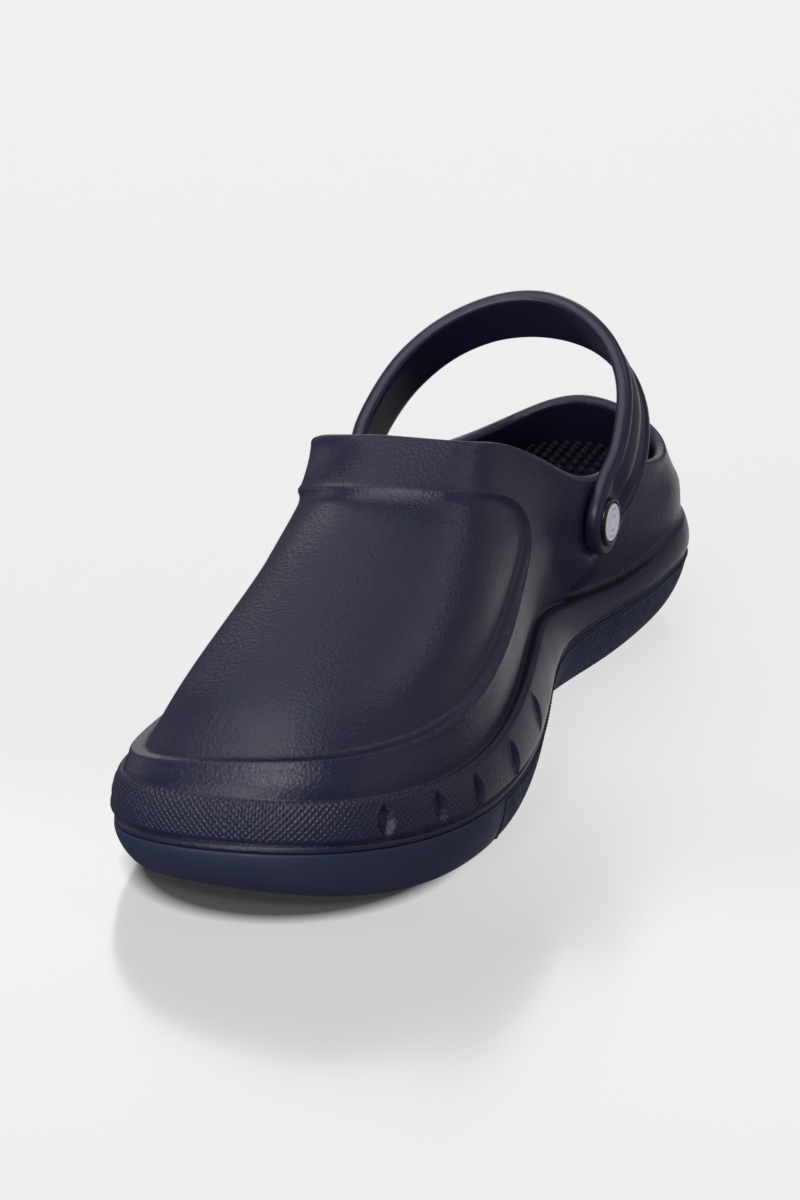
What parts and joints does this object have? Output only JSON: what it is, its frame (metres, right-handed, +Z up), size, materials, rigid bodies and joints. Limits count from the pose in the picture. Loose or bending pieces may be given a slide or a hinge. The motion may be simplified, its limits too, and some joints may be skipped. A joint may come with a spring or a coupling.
{
  "type": "garden clog",
  "caption": "Closed-toe foam garden clog with a domed vamp, open heel cup, rubber outsole and a heel strap that swings on two rivets.",
  "frame": {"origin": "on the ground under the middle of the clog's overall length and width", "axes": "+Z up, -Y towards the toe, +Y towards the heel, +X towards the arch (inner) side of this right-foot clog"},
  "size_m": [0.099, 0.287, 0.1002],
  "materials": {
    "shell_foam": "moulded closed-cell foam, fine leather-like grain, satin",
    "outsole_rubber": "moulded rubber, matt, finely ribbed at the waist and heel",
    "insole_foam": "matt moulded foam with small nubs",
    "strap_foam": "moulded foam, satin",
    "rivet_plastic": "moulded, semi-gloss",
    "badge_plastic": "satin inlay"
  },
  "bodies": {
    "clog": {"shell": "shell_foam", "outsole": "outsole_rubber", "insole": "insole_foam", "rivet_arch": "rivet_plastic", "rivet_outer": "rivet_plastic", "rivet_badge_arch": "badge_plastic", "rivet_badge_outer": "badge_plastic", "rivet_cap_arch": "rivet_plastic", "rivet_cap_outer": "rivet_plastic"},
    "strap": {"heel_strap": "strap_foam"}
  },
  "joints": [
    {"name": "strap_pivot", "type": "hinge", "parent": "clog", "child": "strap", "pos_m": [-0.00495, 0.0491, 0.0507], "axis": [1, 0, 0], "range_deg": [-15, 85]}
  ]
}
